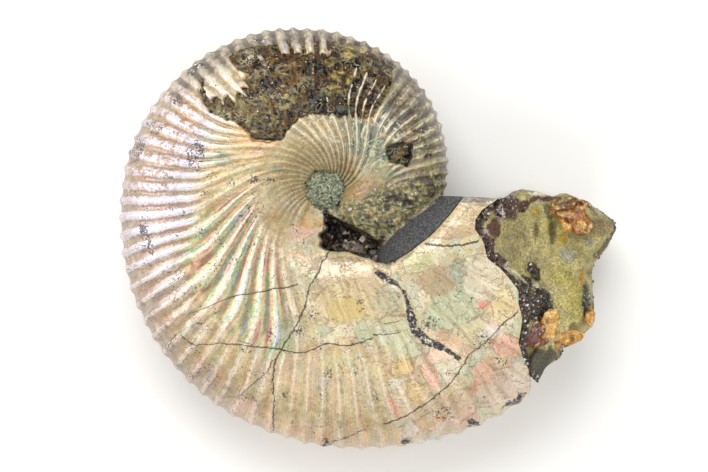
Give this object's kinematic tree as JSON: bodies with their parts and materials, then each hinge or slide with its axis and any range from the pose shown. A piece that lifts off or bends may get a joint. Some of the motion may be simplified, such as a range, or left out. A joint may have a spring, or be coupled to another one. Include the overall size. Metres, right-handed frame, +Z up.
{
  "type": "ammonite fossil",
  "caption": "Ribbed scaphite ammonite lying on its flank: a tight coil with a hooked living chamber, broken at the mouth where the rock inside shows.",
  "frame": {"origin": "on the surface that the fossil lies on, under the middle of its bounding box", "axes": "+X from the coil towards the broken mouth, +Y across the coil away from the living chamber, +Z up through the flank that shows"},
  "size_m": [0.0794, 0.0676, 0.0258],
  "materials": {
    "nacre": "polished mother-of-pearl shell, honey beige with pink, lilac and green play of colour, brown where it has flaked off",
    "olive_siltstone": "rough olive stone with a maroon crystal crust and amber calcite along its edges",
    "grey_mudstone": "dull dark grey stone, ground flat",
    "green_grey_rock": "granular green-grey stone"
  },
  "bodies": {
    "root": {"ammonite_shell": "nacre", "aperture_matrix": "olive_siltstone", "dorsal_matrix": "grey_mudstone", "umbilical_plug": "green_grey_rock"}
  },
  "joints": []
}
